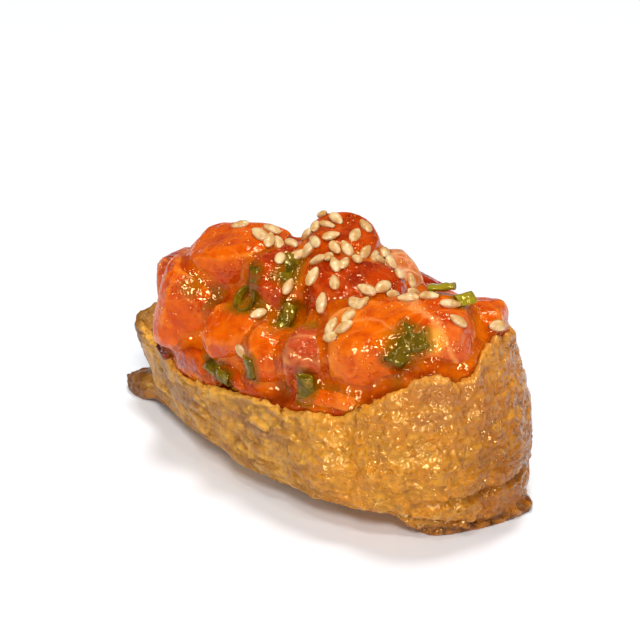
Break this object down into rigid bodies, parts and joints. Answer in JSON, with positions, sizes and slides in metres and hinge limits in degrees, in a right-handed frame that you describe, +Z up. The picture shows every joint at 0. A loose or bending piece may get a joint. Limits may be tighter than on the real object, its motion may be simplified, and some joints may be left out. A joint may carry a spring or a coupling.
{
  "type": "inari sushi",
  "caption": "Open pocket of fried tofu skin, filled with rice and heaped with diced raw salmon in sauce.",
  "frame": {"origin": "under the middle of the whole piece, in the plane that it rests on", "axes": "+Z up, X along the pocket with +X towards its high end, Y across it"},
  "size_m": [0.0826, 0.042, 0.0418],
  "materials": {
    "tofu": "moist, wrinkled, golden brown",
    "rice": "moist, grainy",
    "salmon": "wet and glossy"
  },
  "bodies": {
    "root": {"tofu_pocket": "tofu", "rice_filling": "rice", "salmon_slab_right": "salmon", "salmon_shoulder_left": "salmon", "salmon_peak_back": "salmon", "salmon_block_left": "salmon", "salmon_right_small": "salmon", "salmon_mid_plate": "salmon", "salmon_mid_square": "salmon", "salmon_centre_high": "salmon", "salmon_peak_right": "salmon", "salmon_valley": "salmon", "salmon_mid_pink": "salmon", "salmon_right_low": "salmon", "salmon_front_low": "salmon", "salmon_left_low": "salmon", "salmon_front_left_low": "salmon", "salmon_back_left": "salmon", "salmon_back_low_left": "salmon", "salmon_back_mid_left": "salmon", "salmon_back_mid": "salmon", "salmon_back_right": "salmon"}
  },
  "joints": []
}
